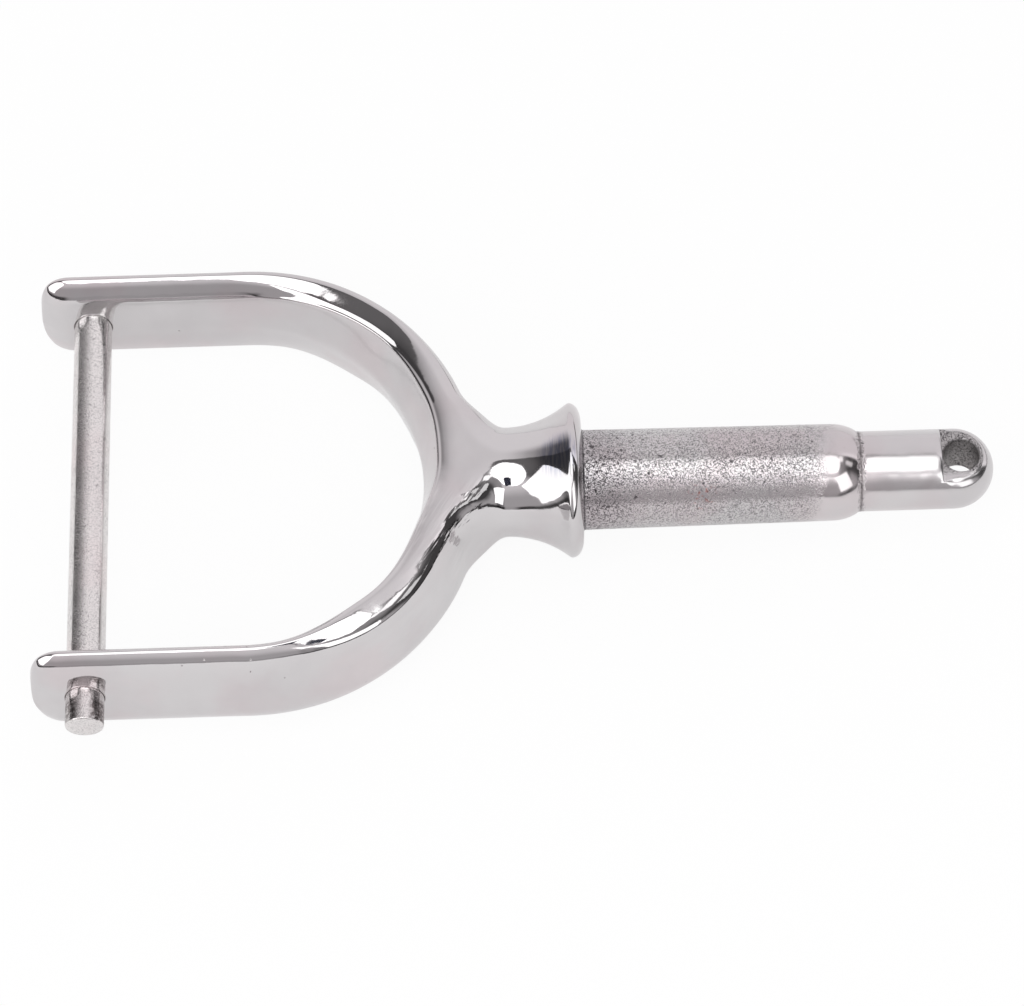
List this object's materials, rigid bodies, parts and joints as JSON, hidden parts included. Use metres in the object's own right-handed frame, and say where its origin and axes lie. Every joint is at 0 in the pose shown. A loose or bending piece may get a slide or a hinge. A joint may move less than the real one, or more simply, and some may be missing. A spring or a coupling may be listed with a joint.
{
  "type": "rowlock",
  "caption": "Closed D-shaped rowlock: a polished cast horn on a flared collar and a round shank with a lanyard eye, its open end closed by a plain round gate pin.",
  "frame": {"origin": "on the shank's axis, at the collar's seat face", "axes": "+X along the shank, away from the horn; +Y along the gate pin, towards its short end; +Z square to the horn's plane, up as it lies"},
  "size_m": [0.1551, 0.0823, 0.0252],
  "materials": {
    "polished_casting": "cast stainless steel, mirror polished on the horn, collar and spigot, fine cast grain on the shank and the eye's flats",
    "pin_steel": "drawn stainless steel rod, satin, with saw-cut ends"
  },
  "bodies": {
    "root": {"horn_and_shank": "polished_casting", "gate_pin": "pin_steel"}
  },
  "joints": []
}
